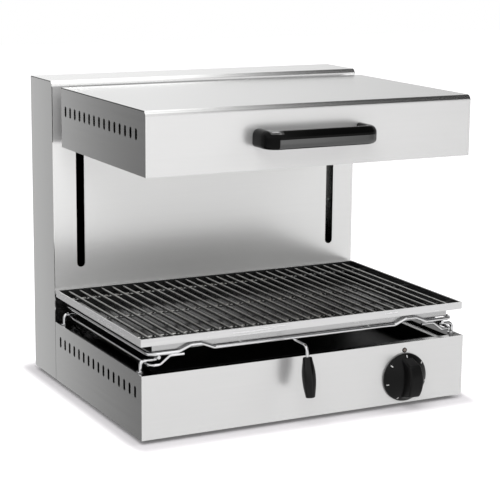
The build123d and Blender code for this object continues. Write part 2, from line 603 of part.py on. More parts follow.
def heating():
    """Reflector, insulation above it, hairpin heating elements, their supports and terminals."""
    legs = element_legs()
    sheet = REFLECTOR_SHEET
    reflector = block(-HOOD_INNER, HOOD_INNER, HOOD_FRONT + SHEET, HOOD_INSIDE_BACK, RIM_Z, RIM_Z + sheet)
    reflector += block(-REFLECTOR_HALF, REFLECTOR_HALF, REFLECTOR_FRONT, REFLECTOR_BACK, RIM_Z, REFLECTOR_TOP)
    inside = REFLECTOR_HALF - sheet
    depths = (REFLECTOR_FRONT + sheet, REFLECTOR_BACK - sheet)
    reflector -= block(-inside, inside, *depths, RIM_Z - sheet, REFLECTOR_TOP - sheet)
    end_x = -REFLECTOR_HALF - ELEMENT_OVERRUN
    passing = ELEMENT_RADIUS + RUN_GAP
    reflector -= [bar((end_x, y, ELEMENT_Z), (-inside + sheet, y, ELEMENT_Z), passing) for y in legs]
    save("reflector", reflector)
    half = REFLECTOR_HALF - INSULATION_INSET
    y0 = REFLECTOR_FRONT + INSULATION_INSET
    y1 = REFLECTOR_BACK - INSULATION_INSET
    save("insulation_slab", block(-half, half, y0, y1, REFLECTOR_TOP, REFLECTOR_TOP + INSULATION_THICKNESS))
    turn_x = inside - ELEMENT_END_GAP
    bend = ELEMENT_PITCH / 2 - SEAT_GAP
    hairpins = []
    for near, far in zip(legs[::2], legs[1::2]):
        plan = ((end_x, near), (turn_x, near), (turn_x, far), (end_x, far))
        hairpins.append(wire([(x, y, ELEMENT_Z) for x, y in plan], bend, ELEMENT_RADIUS))
    save("heating_elements", *hairpins)
    strips = []
    edge = ELEMENT_RADIUS + SUPPORT_EDGE
    heights = (ELEMENT_Z - SUPPORT_EDGE, REFLECTOR_TOP - sheet)
    for x0 in (-SUPPORT_OFFSET, SUPPORT_OFFSET):
        x1 = x0 + SUPPORT_SHEET
        strip = block(x0, x1, legs[0] - edge, legs[-1] + edge, *heights)
        holes = [bar((x0 - sheet, y, ELEMENT_Z), (x1 + sheet, y, ELEMENT_Z), passing) for y in legs]
        strips.append(strip - holes)
    save("element_supports", *strips)
    cap_x = end_x + TERMINAL_LENGTH
    caps = []
    for y in legs:
        cap = bar((end_x, y, ELEMENT_Z), (cap_x, y, ELEMENT_Z), TERMINAL_RADIUS)
        bore = bar((end_x - sheet, y, ELEMENT_Z), (cap_x + sheet, y, ELEMENT_Z), ELEMENT_RADIUS + FIT_GAP)
        caps.append(cap - bore)
    save("element_insulators", *caps)


def handle_screw_places():
    """Where the handle's screws sit along the hood front."""
    reach = HANDLE_LENGTH / 2 - HANDLE_LEG / 2
    return (HANDLE_X - reach, HANDLE_X + reach)


def hood_handle():
    """Bow handle of black plastic and the screws that hold it from inside."""
    z0 = HANDLE_Z - HANDLE_HEIGHT / 2
    z1 = HANDLE_Z + HANDLE_HEIGHT / 2
    half = HANDLE_LENGTH / 2
    front = HOOD_FRONT - HANDLE_REACH
    bow = block(HANDLE_X - half, HANDLE_X + half, front, HOOD_FRONT, z0, z1)
    bow = fillet(bow.edges().filter_by(Axis.Z).group_by(Axis.Y)[0], HANDLE_CORNER)
    gap_half = half - HANDLE_LEG
    depths = (front + HANDLE_BAR, HOOD_FRONT + HANDLE_BAR)
    gap = block(HANDLE_X - gap_half, HANDLE_X + gap_half, *depths, z0 - SHEET, z1 + SHEET)
    gap = fillet(gap.edges().filter_by(Axis.Z).group_by(Axis.Y)[0], HANDLE_INNER_CORNER)
    bow -= gap
    rim = bow.edges().group_by(Axis.Z)[-1] + bow.edges().group_by(Axis.Z)[0]
    bow = fillet([e for e in rim if e.center().Y < HOOD_FRONT - SEAT_GAP], HANDLE_EDGE)
    screw_end = HOOD_FRONT - HANDLE_SCREW_LENGTH
    inside = HOOD_FRONT + SHEET
    screws = []
    for x in handle_screw_places():
        bow -= across(x, HANDLE_Z, screw_end - FIT_GAP, inside, HANDLE_SCREW_RADIUS + FIT_GAP)
        shank = across(x, HANDLE_Z, screw_end, inside, HANDLE_SCREW_RADIUS)
        screws.append(shank + across(x, HANDLE_Z, inside, inside + BOLT_HEAD, HANDLE_SCREW_HEAD_RADIUS))
    save("hood_handle", bow)
    save("handle_screws", *screws)


def rack_rails():
    """Two fixed rails on bent legs that stand through the base flanges."""
    arm_z = RAIL_Z - LEG_ARM_DROP
    washers = []
    nuts = []
    for side, name in zip(SIDES, ("rack_rail_left", "rack_rail_right")):
        x = side * LEG_X
        rail = across(side * RAIL_X, RAIL_Z, RAIL_FRONT, RAIL_BACK, RAIL_RADIUS)
        for y in LEG_ROWS:
            points = ((x, y, BASE_HEIGHT - LEG_TAIL), (x, y, arm_z), (side * RAIL_X, y, arm_z))
            rail += wire(points, LEG_BEND, LEG_RADIUS)
            hole = upright(x, y, 0, BODY_HEIGHT, LEG_RADIUS + FIT_GAP)
            washers.append(upright(x, y, BASE_HEIGHT, BASE_HEIGHT + WASHER_HEIGHT, WASHER_RADIUS) - hole)
            under = BASE_HEIGHT - SHEET
            nuts.append(upright(x, y, under - NUT_HEIGHT, under, NUT_RADIUS) - hole)
        save(name, rail)
    save("rail_leg_washers", *washers)
    save("rail_leg_nuts", *nuts)


def hump_points(x, y, order):
    """The four bends of one upward hump in a frame wire, in the order that the wire runs."""
    crest = ((-HUMP_HALF_TOP, HUMP_RISE), (HUMP_HALF_TOP, HUMP_RISE))
    offsets = ((-HUMP_HALF_BASE, 0), *crest, (HUMP_HALF_BASE, 0))
    return [(x + order * dx, y, FRAME_Z + dz) for dx, dz in offsets]


def slide_frame():
    """Sliding wire frame: humps that stop the pan, runners under it, guard wires and the pull rod."""
    front = RAIL_FRONT
    back = RAIL_BACK
    middle = (front + back) / 2
    frame = None
    for y in (front, back):
        points = [(-FRAME_HALF, middle, FRAME_Z), (-FRAME_HALF, y, FRAME_Z)]
        points += hump_points(-HUMP_X, y, 1) + hump_points(HUMP_X, y, 1)
        points += [(FRAME_HALF, y, FRAME_Z), (FRAME_HALF, middle, FRAME_Z)]
        bends = [FRAME_BEND] + [HUMP_BEND] * 8 + [FRAME_BEND]
        half = wire(points, bends, FRAME_RADIUS)
        frame = half if frame is None else frame + half
    tail_z = FRAME_Z - FRAME_RADIUS - GUARD_RADIUS + WELD
    for side in SIDES:
        frame += across(side * RUNNER_X, FRAME_Z, front, back, FRAME_RADIUS)
        tail = [(HALF - GUARD_TAIL_END, tail_z), (HALF - GUARD_RISE_END, tail_z)]
        end = tail + [(HALF - GUARD_RISE_START, GUARD_Z), (GUARD_X, GUARD_Z)]
        points = [(side * x, front, z) for x, z in end] + [(side * x, back, z) for x, z in reversed(end)]
        frame += wire(points, GUARD_BEND, GUARD_RADIUS)
    lean = Pos(PULL_X, GRIP_Y, GRIP_TOP) * Rot(X=-PULL_LEAN)
    elbow = (PULL_Z - GRIP_TOP) / cos(radians(PULL_LEAN))
    bends = [(lean * Pos(0, 0, z)).position for z in (elbow, -GRIP_BORE_DEPTH)]
    frame += wire([(PULL_X, front + PULL_TAIL, PULL_Z), *bends], PULL_BEND, PULL_RADIUS)
    save("slide_frame", frame)
    outline = Polyline((0, -GRIP_LENGTH), (GRIP_BOTTOM_RADIUS, -GRIP_LENGTH))
    belly = (GRIP_RADIUS, -GRIP_WAIST)
    outline += ThreePointArc((GRIP_BOTTOM_RADIUS, -GRIP_LENGTH), belly, (GRIP_TOP_RADIUS, 0))
    outline += Polyline((GRIP_TOP_RADIUS, 0), (0, 0), (0, -GRIP_LENGTH))
    grip = revolve(Plane.XZ * make_face(outline), Axis.Z)
    grip -= upright(0, 0, -GRIP_BORE_DEPTH - FIT_GAP, SHEET, PULL_RADIUS + FIT_GAP)
    save("pull_grip", lean * grip)


def pan_and_grate():
    """Fat pan on the sliding frame and the bar grate on the pan."""
    rim_half = GRATE_HALF - PAN_RIM_INSET
    rim_depths = (GRATE_FRONT + PAN_RIM_INSET, GRATE_BACK - PAN_RIM_INSET)
    rim = block(-rim_half, rim_half, *rim_depths, PAN_TOP - PAN_SHEET, PAN_TOP)
    rim -= block(-PAN_HALF, PAN_HALF, PAN_FRONT, PAN_BACK, PAN_Z, PAN_TOP + PAN_SHEET)
    save("fat_pan", rim + pan(PAN_HALF, PAN_FRONT, PAN_BACK, PAN_Z, PAN_TOP, PAN_SHEET))
    top = GRATE_Z + GRATE_BAND
    inside = GRATE_HALF - GRATE_BAND_SHEET
    y0 = GRATE_FRONT + GRATE_BAND_SHEET
    y1 = GRATE_BACK - GRATE_BAND_SHEET
    band = block(-GRATE_HALF, GRATE_HALF, GRATE_FRONT, GRATE_BACK, GRATE_Z, top)
    save("grate_band", band - block(-inside, inside, y0, y1, GRATE_Z - SHEET, top + SHEET))
    pitch = 2 * inside / (BAR_COUNT + 1)
    places = [-inside + pitch * (i + 1) for i in range(BAR_COUNT)]
    save("grate_bars", *[across(x, BAR_Z, y0, y1, BAR_RADIUS) for x in places])
    rows = [y0 + (y1 - y0) * share for share in CROSS_SHARES]
    save("grate_cross_wires", *[bar((-inside, y, CROSS_Z), (inside, y, CROSS_Z), CROSS_RADIUS) for y in rows])


def controls():
    """Dial knob and shaft, power regulator with its neck nut, and the pilot lamp."""
    back = -KNOB_STANDOFF
    foot = back - KNOB_RIM
    dial = across(KNOB_X, KNOB_Z, foot, back, KNOB_RADIUS)
    rim = Plane((KNOB_X, foot, KNOB_Z), z_dir=(0, -1, 0))
    dial += Solid.make_cone(KNOB_RADIUS, KNOB_CONE_TOP, KNOB_CONE, rim)
    crest = foot - KNOB_CONE - KNOB_GRIP_HEIGHT
    long = KNOB_GRIP_LENGTH / 2
    short = long - KNOB_GRIP_SLOPE
    brow = crest + KNOB_GRIP_CROWN
    outline = Polyline((brow, short), (foot, long), (foot, -long), (brow, -short))
    outline += ThreePointArc((brow, -short), (crest, 0), (brow, short))
    grip = extrude(Plane.YZ * make_face(outline), KNOB_GRIP_WIDTH / 2, both=True)
    grip = fillet([e for e in grip.edges() if e.center().Y < foot - SEAT_GAP], KNOB_GRIP_EDGE)
    knob = dial + Pos(KNOB_X, 0, KNOB_Z) * grip
    knob -= across(KNOB_X, KNOB_Z, back - KNOB_POCKET_DEPTH, back + SHEET, KNOB_POCKET)
    knob -= across(KNOB_X, KNOB_Z, -SHAFT_FRONT - FIT_GAP, back, SHAFT_RADIUS + FIT_GAP)
    save("dial_knob", knob)
    save("regulator_shaft", across(KNOB_X, KNOB_Z, -SHAFT_FRONT, SHAFT_BACK, SHAFT_RADIUS))
    size = REGULATOR_SIZE / 2
    body = block(KNOB_X - size, KNOB_X + size, SHEET, SHEET + REGULATOR_DEPTH, KNOB_Z - size, KNOB_Z + size)
    body += across(KNOB_X, KNOB_Z, -NECK_NUT, SHEET, NECK_RADIUS)
    bore_ends = (-2 * NECK_NUT, SHAFT_BACK + RUN_GAP)
    save("power_regulator", body - across(KNOB_X, KNOB_Z, *bore_ends, SHAFT_RADIUS + RUN_GAP))
    nut_hole = across(KNOB_X, KNOB_Z, -2 * NECK_NUT, SHEET, NECK_RADIUS + FIT_GAP)
    save("regulator_nut", across(KNOB_X, KNOB_Z, -NECK_NUT, 0, NECK_NUT_RADIUS) - nut_hole)
    lens = across(KNOB_X, LAMP_Z, -LAMP_DOME, LAMP_SEAT, LAMP_RADIUS)
    save("pilot_lamp_lens", fillet(lens.edges().sort_by(Axis.Y)[0], LAMP_DOME / 2))
    save("pilot_lamp_body", across(KNOB_X, LAMP_Z, LAMP_SEAT, LAMP_SEAT + LAMP_BODY_LENGTH, LAMP_BODY_RADIUS))


def supply():
    """Cable gland through the rear cover, its nut and the terminal block inside."""
    bore = across(GLAND_X, GLAND_Z, BASE_DEPTH, REACH_BACK + SHEET, GLAND_BORE)
    face = Plane((GLAND_X, COLUMN_BACK, GLAND_Z), x_dir=(1, 0, 0), z_dir=(0, 1, 0))
    gland = extrude(face * RegularPolygon(GLAND_HEX, 6), GLAND_REACH)
    gland += across(GLAND_X, GLAND_Z, COVER_INSIDE - GLAND_NUT, COLUMN_BACK, GLAND_NECK)
    save("cable_gland", gland - bore)
    nut = across(GLAND_X, GLAND_Z, COVER_INSIDE - GLAND_NUT, COVER_INSIDE, GLAND_HEX)
    neck = across(GLAND_X, GLAND_Z, BASE_DEPTH, COLUMN_BACK, GLAND_NECK + FIT_GAP)
    save("gland_nut", nut - neck)
    half = BLOCK_TERMINAL_LENGTH / 2
    z0 = SHEET + LOWER_BRACKET
    y1 = BRACKET_BACK
    y0 = y1 - BLOCK_TERMINAL_DEPTH
    save("terminal_block", block(GLAND_X - half, GLAND_X + half, y0, y1, z0, z0 + BLOCK_TERMINAL_HEIGHT))


os.makedirs("parts", exist_ok=True)
base()
drip_tray()
column()
lift_guides()
pulleys()
ropes()
carriage()
counterweight()
hood_shell()
heating()
hood_handle()
rack_rails()
slide_frame()
pan_and_grate()
controls()
supply()
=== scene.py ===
import math

import bmesh
import bpy
from mathutils import Matrix, Vector


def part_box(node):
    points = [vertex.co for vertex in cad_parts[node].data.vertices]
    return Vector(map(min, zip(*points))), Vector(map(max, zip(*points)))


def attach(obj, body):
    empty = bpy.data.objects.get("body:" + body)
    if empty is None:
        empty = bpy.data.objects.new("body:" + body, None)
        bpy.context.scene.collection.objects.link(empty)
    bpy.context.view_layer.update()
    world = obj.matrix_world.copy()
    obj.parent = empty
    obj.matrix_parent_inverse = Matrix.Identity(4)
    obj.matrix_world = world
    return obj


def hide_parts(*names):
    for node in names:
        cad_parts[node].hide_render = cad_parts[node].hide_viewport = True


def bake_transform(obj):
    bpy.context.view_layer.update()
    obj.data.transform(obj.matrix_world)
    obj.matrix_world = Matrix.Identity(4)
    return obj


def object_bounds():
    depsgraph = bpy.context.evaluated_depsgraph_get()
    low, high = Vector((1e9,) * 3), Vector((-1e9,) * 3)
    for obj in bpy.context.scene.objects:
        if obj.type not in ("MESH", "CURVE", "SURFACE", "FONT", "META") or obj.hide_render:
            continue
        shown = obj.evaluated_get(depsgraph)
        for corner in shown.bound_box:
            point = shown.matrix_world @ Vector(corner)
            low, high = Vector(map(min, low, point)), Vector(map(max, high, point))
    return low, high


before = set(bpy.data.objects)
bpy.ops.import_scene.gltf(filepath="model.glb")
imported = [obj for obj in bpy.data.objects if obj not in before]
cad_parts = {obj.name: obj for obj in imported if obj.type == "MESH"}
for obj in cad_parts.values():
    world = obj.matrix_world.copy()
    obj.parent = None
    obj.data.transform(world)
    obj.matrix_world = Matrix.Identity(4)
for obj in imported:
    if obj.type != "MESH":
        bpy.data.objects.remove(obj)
cad_low, cad_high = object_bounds()
scene = bpy.context.scene
scene.view_settings.view_transform = "Standard"
MM = 0.001
Y = Vector((0, 1, 0))
Z = Vector((0, 0, 1))


class Signal:
    """One socket of a shader tree. Sums and products of signals add Math nodes to the tree."""

    def __init__(self, finish, socket):
        self.finish = finish
        self.socket = socket

    def math(self, operation, *others):
        return self.finish.math(operation, self, *others)

    def __add__(self, other):
        return self.math("ADD", other)

    def __radd__(self, other):
        return self.finish.math("ADD", other, self)

    def __sub__(self, other):
        return self.math("SUBTRACT", other)

    def __rsub__(self, other):
        return self.finish.math("SUBTRACT", other, self)

    def __mul__(self, other):
        return self.math("MULTIPLY", other)

    def __rmul__(self, other):
        return self.finish.math("MULTIPLY", other, self)

    def above(self, edge):
        return self.math("GREATER_THAN", edge)

    def below(self, edge):
        return self.math("LESS_THAN", edge)

    def larger(self, other):
        return self.math("MAXIMUM", other)

    def size(self):
        return self.math("ABSOLUTE")


class Finish:
    """A material, or the world, and the nodes that make its look."""

    def __init__(self, owner):
        owner.use_nodes = True
        self.owner = owner
        self.tree = owner.node_tree
        self.tree.nodes.clear()

    def node(self, kind, settings=None, sockets=None, output=0):
        made = self.tree.nodes.new(kind)
        for key, value in (settings or {}).items():
            if key == "stops":
                self.set_stops(made.color_ramp, value)
            else:
                setattr(made, key, value)
        for key, value in (sockets or {}).items():
            if isinstance(value, Signal):
                self.tree.links.new(value.socket, made.inputs[key])
            else:
                made.inputs[key].default_value = value
        return Signal(self, made.outputs[output]) if made.outputs else None

    @staticmethod
    def set_stops(ramp, stops):
        while len(ramp.elements) < len(stops):
            ramp.elements.new(1.0)
        for element, (place, value) in zip(ramp.elements, stops):
            element.position = place
            element.color = shade(value)

    def math(self, operation, *values):
        return self.node("ShaderNodeMath", {"operation": operation}, dict(enumerate(values)))

    def place(self):
        return self.node("ShaderNodeTexCoord", output="Object")

    def split(self, vector):
        parts = self.node("ShaderNodeSeparateXYZ", sockets={"Vector": vector})
        return [Signal(self, socket) for socket in parts.socket.node.outputs]

    def axes(self):
        return self.split(self.place())

    def noise(self, per_metre, detail=3.0, warp=0.0):
        """Cloudy noise, with one scale for all axes or one for each."""
        scale = per_metre if isinstance(per_metre, tuple) else (per_metre,) * 3
        mapped = self.node("ShaderNodeMapping", sockets={"Vector": self.place(), "Scale": scale})
        sockets = {"Vector": mapped, "Scale": 1.0, "Detail": detail, "Roughness": 0.55, "Distortion": warp}
        return self.node("ShaderNodeTexNoise", sockets=sockets)

    def cells(self, per_metre, output="Distance"):
        sockets = {"Vector": self.place(), "Scale": per_metre}
        return self.node("ShaderNodeTexVoronoi", sockets=sockets, output=output)

    def mix(self, share, first, second):
        """A blend of two colours, each of them a signal, a colour or a grey."""
        ends = [end if isinstance(end, Signal) else shade(end) for end in (first, second)]
        return self.node("ShaderNodeMix", {"data_type": "RGBA"}, {0: share, 6: ends[0], 7: ends[1]}, output=2)

    def ramp(self, value, stops):
        return self.node("ShaderNodeValToRGB", {"stops": stops}, {"Fac": value})

    def rise(self, value, start, end, low=0.0, high=1.0):
        """A smooth step from low to high while a signal goes from start to end."""
        sockets = {"Value": value, "From Min": start, "From Max": end, "To Min": low, "To Max": high}
        return self.node("ShaderNodeMapRange", {"interpolation_type": "SMOOTHSTEP"}, sockets)

    def bump(self, height, strength, depth):
        """Relief of so many millimetres."""
        sockets = {"Height": height, "Strength": strength, "Distance": depth * MM}
        return self.node("ShaderNodeBump", sockets=sockets)

    def surface(self, **sockets):
        named = {key.replace("_", " "): value for key, value in sockets.items()}
        shader = self.node("ShaderNodeBsdfPrincipled", sockets=named)
        self.node("ShaderNodeOutputMaterial", sockets={"Surface": shader})
        return self.owner


def shade(value):
    """An opaque colour from its three parts, or a grey from one number."""
    parts = value if isinstance(value, tuple) else (value,) * 3
    return (*parts, 1.0)


def new_finish(name):
    return Finish(bpy.data.materials.new(name))


def inside(axes, boxes):
    """1 inside any of the boxes, and 0 outside all of them."""
    masks = []
    for low, high in boxes:
        x, y, z = [axis.above(start) * axis.below(end) for axis, start, end in zip(axes, low, high)]
        masks.append(x * y * z)
    union = masks[0]
    for mask in masks[1:]:
        union = union.larger(mask)
    return union


def within(node, left=-1, right=-1, front=-1, back=-1, floor=-1, lid=-1):
    """A box drawn in from a node's own box by so many millimetres, outwards where negative."""
    low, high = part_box(node)
    return low + Vector((left, front, floor)) * MM, high - Vector((right, back, lid)) * MM


def front_of(node):
    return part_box(node)[0].y


SEAM_SHADE = 0.05
# Near-black grey of painted shade on steel sheets.
PAINTED_SHADE_GREY = 0.018
GRIND_DEPTH = 0.4 * MM
CREST_HIGHLIGHT_DEPTH = 0.7 * MM


def brush_marks(f, along, lengthwise, crosswise):
    """Marks drawn out along one axis, so many to the metre along and across the brush."""
    return f.noise(tuple(lengthwise if axis == along else crosswise for axis in "xyz"), detail=2.0)


def brushed_steel(name, along, rough, face=None, dullness=0.0, level=0.78, seams=(), painted_shade=()):
    """Stainless sheet with fine brush lines along one axis.

    The face at that y has a duller grind. Boxes of seams show as thin dark joints, boxes of painted shade as
    black sheet where shade falls.
    """
    f = new_finish(name)
    axes = f.axes()
    lines = brush_marks(f, along, 9.0, 1500.0)
    bands = brush_marks(f, along, 1.5, 130.0)
    drift = f.noise(5.0, detail=2.0)
    deep = (level - 0.035, level - 0.035, level - 0.04)
    pale = (level + 0.04, level + 0.04, level + 0.035)
    colour = f.mix(lines * 0.50 + bands * 0.35 + drift * 0.15, deep, pale)
    if seams:
        colour = f.mix(inside(axes, seams), colour, SEAM_SHADE)
    # Painted shade: sheet inside these boxes is coloured near black where shade falls.
    if painted_shade:
        colour = f.mix(inside(axes, painted_shade), colour, PAINTED_SHADE_GREY)
    dull = axes[1].below(face + GRIND_DEPTH) if face is not None else 0.0
    return f.surface(
        Base_Color=colour,
        Metallic=1 - dull * dullness,
        Roughness=rough - 0.02 + lines * 0.02 + bands * 0.02 + dull * 0.10,
        Normal=f.bump(lines, 0.02, 0.03),
    )


def lined_steel(name, tone, metal, lining, boxes):
    """Brushed sheet, lined with dark enamel and baked-on fat inside the given boxes.

    The lining is given by its shade, its roughness and how metallic it looks.
    """
    f = new_finish(name)
    black = inside(f.axes(), boxes)
    lines = brush_marks(f, "x", 9.0, 1300.0)
    speck = f.cells(900.0)
    stain = f.noise((22.0, 9.0, 22.0), detail=4.0)
    lining_shade, lining_rough, lustre = lining
    steel = f.mix(lines, tone * 0.9, tone * 1.1)
    enamel = f.mix(speck * 0.5 + stain * 0.5, lining_shade * 0.5, lining_shade * 1.5)
    return f.surface(
        Base_Color=f.mix(black, steel, enamel),
        Metallic=metal + black * (lustre - metal),
        Roughness=0.20 + lines * 0.06 + black * (lining_rough - 0.23) + stain * 0.06,
        Normal=f.bump(speck * black + lines * (1 - black), 0.08, 0.1),
    )


def zinc_steel(name, tone):
    """Zinc-coated inner sheet with soft spangles."""
    f = new_finish(name)
    spangle = f.node("ShaderNodeRGBToBW", sockets={"Color": f.cells(90.0, output="Color")})
    fleck = f.noise(400.0)
    return f.surface(
        Base_Color=f.mix(spangle * 0.7 + fleck * 0.3, tone * 0.82, tone * 1.16),
        Metallic=1.0,
        Roughness=0.36 + spangle * 0.10 + fleck * 0.06,
        Normal=f.bump(fleck, 0.06, 0.1),
    )


def plated_wire(name, colour, rough):
    """Bright plated wire with faint drawing marks and a few dull smears."""
    f = new_finish(name)
    marks = f.noise(700.0, detail=2.0)
    smear = f.noise(45.0, warp=0.8)
    dim = tuple(part * 0.86 for part in colour)
    return f.surface(
        Base_Color=f.mix(smear * 0.7 + marks * 0.3, dim, colour),
        Metallic=1.0,
        Roughness=rough + smear * 0.07 + marks * 0.03,
        Normal=f.bump(marks, 0.05, 0.05),
    )


def burnt_steel(name, crest):
    """Grate bars: black oxidised flanks, and top edges above the level of their crest coloured pale and
    metallic, partly scraped steel and partly a painted highlight.
    """
    f = new_finish(name)
    height = f.axes()[2]
    crust = f.noise(120.0, detail=5.0, warp=0.5)
    fine = f.noise((1600.0, 25.0, 1600.0), detail=2.0)
    # Painted highlight: the top edges are paler and more metallic, partly as scraped steel.
    painted_crest_highlight = height.above(crest) * (crust * 0.5 + 0.7)
    flank = f.mix(crust * 0.6 + fine * 0.4, 0.008, (0.035, 0.034, 0.033))
    return f.surface(
        Base_Color=f.mix(painted_crest_highlight, flank, (0.42, 0.42, 0.41)),
        Metallic=0.4 + painted_crest_highlight * 0.5,
        Roughness=0.20 + fine * 0.08 + crust * 0.08,
        Normal=f.bump(crust + fine * 0.4, 0.15, 0.2),
    )


def reflector_steel(name):
    """Aluminised sheet, heat tinted in straw and blue clouds."""
    f = new_finish(name)
    cloud = f.noise((14.0, 18.0, 14.0), detail=4.0, warp=0.6)
    fine = brush_marks(f, "x", 12.0, 900.0)
    straw = f.mix(cloud, (0.62, 0.60, 0.56), (0.50, 0.43, 0.31))
    blued = f.ramp(cloud, [(0.58, 0.0), (0.80, 1.0)])
    return f.surface(
        Base_Color=f.mix(blued * 0.6, straw, (0.33, 0.36, 0.44)),
        Metallic=1.0,
        Roughness=0.24 + fine * 0.12 + cloud * 0.06,
        Normal=f.bump(fine, 0.06, 0.1),
    )


def scaled_sheath(name):
    """Element sheath: dark olive oxide with rubbed patches."""
    f = new_finish(name)
    oxide = f.noise((90.0, 220.0, 220.0), detail=4.0)
    return f.surface(
        Base_Color=f.mix(oxide, (0.030, 0.031, 0.026), (0.105, 0.103, 0.090)),
        Metallic=0.6,
        Roughness=0.48 + oxide * 0.16,
        Normal=f.bump(oxide, 0.20, 0.2),
    )


def wool_mat(name):
    """Mineral wool mat, coloured near black as painted shade seen through the hood's vents."""
    f = new_finish(name)
    strands = f.noise((60.0, 420.0, 700.0), detail=5.0, warp=1.6)
    clump = f.noise(35.0)
    return f.surface(
        Base_Color=f.mix(strands * 0.6 + clump * 0.4, (0.008, 0.008, 0.007), (0.022, 0.021, 0.019)),
        Roughness=0.90 + strands * 0.08,
        Specular_IOR_Level=0.1,
        Normal=f.bump(strands + clump, 0.6, 1.5),
    )


def steatite(name):
    """Cream ceramic of the element beads and the terminal block."""
    f = new_finish(name)
    grain = f.noise(600.0, detail=4.0)
    cloud = f.noise(70.0)
    return f.surface(
        Base_Color=f.mix(grain * 0.4 + cloud * 0.6, (0.70, 0.68, 0.62), (0.84, 0.82, 0.77)),
        Roughness=0.42 + grain * 0.12,
        Normal=f.bump(grain, 0.10, 0.1),
    )


def moulded_black(name, tone, rough, mirror):
    """Black moulded plastic: fine mould grain under a skin that is a little uneven."""
    f = new_finish(name)
    grain = f.noise(1400.0, detail=2.0)
    skin = f.noise(55.0, detail=2.0)
    return f.surface(
        Base_Color=f.mix(skin * 0.6 + grain * 0.4, tone * 0.7, tone * 1.4),
        Roughness=rough + grain * 0.05 + skin * 0.04,
        IOR=mirror,
        Normal=f.bump(grain, 0.03, 0.05),
    )


def lacquered_black(name, boxes):
    """Handle lacquer: deep black, with a mirror coat only inside the given boxes, which paints in a reflection
    and a highlight.
    """
    f = new_finish(name)
    painted_reflection_coat = inside(f.axes(), boxes)
    grain = f.noise(900.0, detail=2.0)
    skin = f.noise(55.0, detail=2.0)
    return f.surface(
        Base_Color=f.mix(skin * 0.6 + grain * 0.4, 0.0015, 0.003),
        Roughness=0.03 + grain * 0.04 + skin * 0.03,
        IOR=1.2,
        Coat_Weight=painted_reflection_coat * 0.9,
        Coat_IOR=2.1,
        Coat_Roughness=0.04,
        Normal=f.bump(grain, 0.03, 0.05),
    )


def foot_rubber(name):
    """Dusty black rubber."""
    f = new_finish(name)
    grain = f.noise(900.0)
    dust = f.noise(80.0, detail=4.0)
    return f.surface(
        Base_Color=f.mix(dust, 0.016, (0.048, 0.047, 0.045)),
        Roughness=0.66 + grain * 0.16,
        Normal=f.bump(grain, 0.25, 0.2),
    )


def smoked_lens(name):
    """Unlit pilot lamp: smoky brown plastic."""
    f = new_finish(name)
    ripple = f.noise((1400.0, 300.0, 1400.0), detail=2.0)
    return f.surface(
        Base_Color=f.mix(ripple, (0.115, 0.092, 0.080), (0.215, 0.175, 0.150)),
        Roughness=0.20 + ripple * 0.10,
        Normal=f.bump(ripple, 0.15, 0.2),
    )


def sintered_bronze(name):
    """Porous bearing bronze."""
    f = new_finish(name)
    pores = f.cells(1500.0)
    cloud = f.noise(90.0)
    return f.surface(
        Base_Color=f.mix(pores * 0.5 + cloud * 0.5, (0.30, 0.19, 0.085), (0.56, 0.38, 0.19)),
        Metallic=1.0,
        Roughness=0.34 + pores * 0.15,
        Normal=f.bump(pores, 0.2, 0.2),
    )


def cast_nylon(name):
    """Cream pulley nylon with faint swirls."""
    f = new_finish(name)
    swirl = f.noise(300.0, detail=2.0, warp=0.7)
    return f.surface(
        Base_Color=f.mix(swirl, (0.66, 0.64, 0.57), (0.80, 0.78, 0.72)),
        Roughness=0.40 + swirl * 0.14,
        Normal=f.bump(swirl, 0.08, 0.1),
    )


def stranded_rope(name):
    """Wire rope: slanting strands from a wave that climbs the rope."""
    f = new_finish(name)
    x, y, z = f.axes()
    climb = z * 900.0 + x * 1900.0 + y * 1900.0
    strand = climb.math("SINE") * 0.5 + 0.5
    return f.surface(
        Base_Color=f.mix(strand, (0.20, 0.20, 0.21), (0.58, 0.58, 0.59)),
        Metallic=1.0,
        Roughness=0.28 + strand * 0.12,
        Normal=f.bump(strand, 0.6, 0.4),
    )


def painted_iron(name):
    """Grey paint on a sand-cast weight."""
    f = new_finish(name)
    sand = f.noise(350.0, detail=4.0)
    wear = f.noise(40.0, detail=4.0)
    return f.surface(
        Base_Color=f.mix(wear * 0.6 + sand * 0.4, (0.10, 0.105, 0.11), (0.22, 0.225, 0.23)),
        Metallic=0.3,
        Roughness=0.52 + sand * 0.16,
        Normal=f.bump(sand, 0.3, 0.4),
    )


def dial_print(name):
    """White ink of the dial's marks."""
    f = new_finish(name)
    ink = f.noise(900.0)
    return f.surface(
        Base_Color=f.mix(ink, (0.46, 0.46, 0.45), (0.62, 0.62, 0.61)),
        Roughness=0.45 + ink * 0.15,
    )


# Boxes on a left-hand side sheet reach this far past it, to take in the right-hand one.
OVER_TO_RIGHT = -590
OVER_TO_RIGHT_FLANGE = -559.4

HOOD_STEEL = brushed_steel("hood_cover_steel", "x", 0.16, front_of("hood_cover"), dullness=0.30)
BASE_STEEL = brushed_steel("base_front_steel", "x", 0.16, front_of("base_front_panel"), dullness=0.30)
# Column front: its steel level is raised as painted light against the hood's shade, and its lower part below the
# grate is painted black as shade.
COLUMN_STEEL = brushed_steel(
    "column_front_steel", "x", 0.14, front_of("column_front"), dullness=0.38, level=0.94,
    painted_shade=[within("column_front", lid=373)],
)
# The rear cover is painted black on all but its outer back face, as painted shade inside the column.
REAR_STEEL = brushed_steel("rear_cover_steel", "x", 0.18, painted_shade=[within("column_rear_cover", back=0.6)])
COLUMN_SIDE_STEEL = brushed_steel(
    "column_side_steel", "z", 0.13, seams=[within("column_side_left", right=OVER_TO_RIGHT, floor=525.6)]
)
HOOD_SIDE_STEEL = brushed_steel(
    "hood_side_steel", "y", 0.13, seams=[within("hood_side_left", right=OVER_TO_RIGHT, floor=100.0)]
)
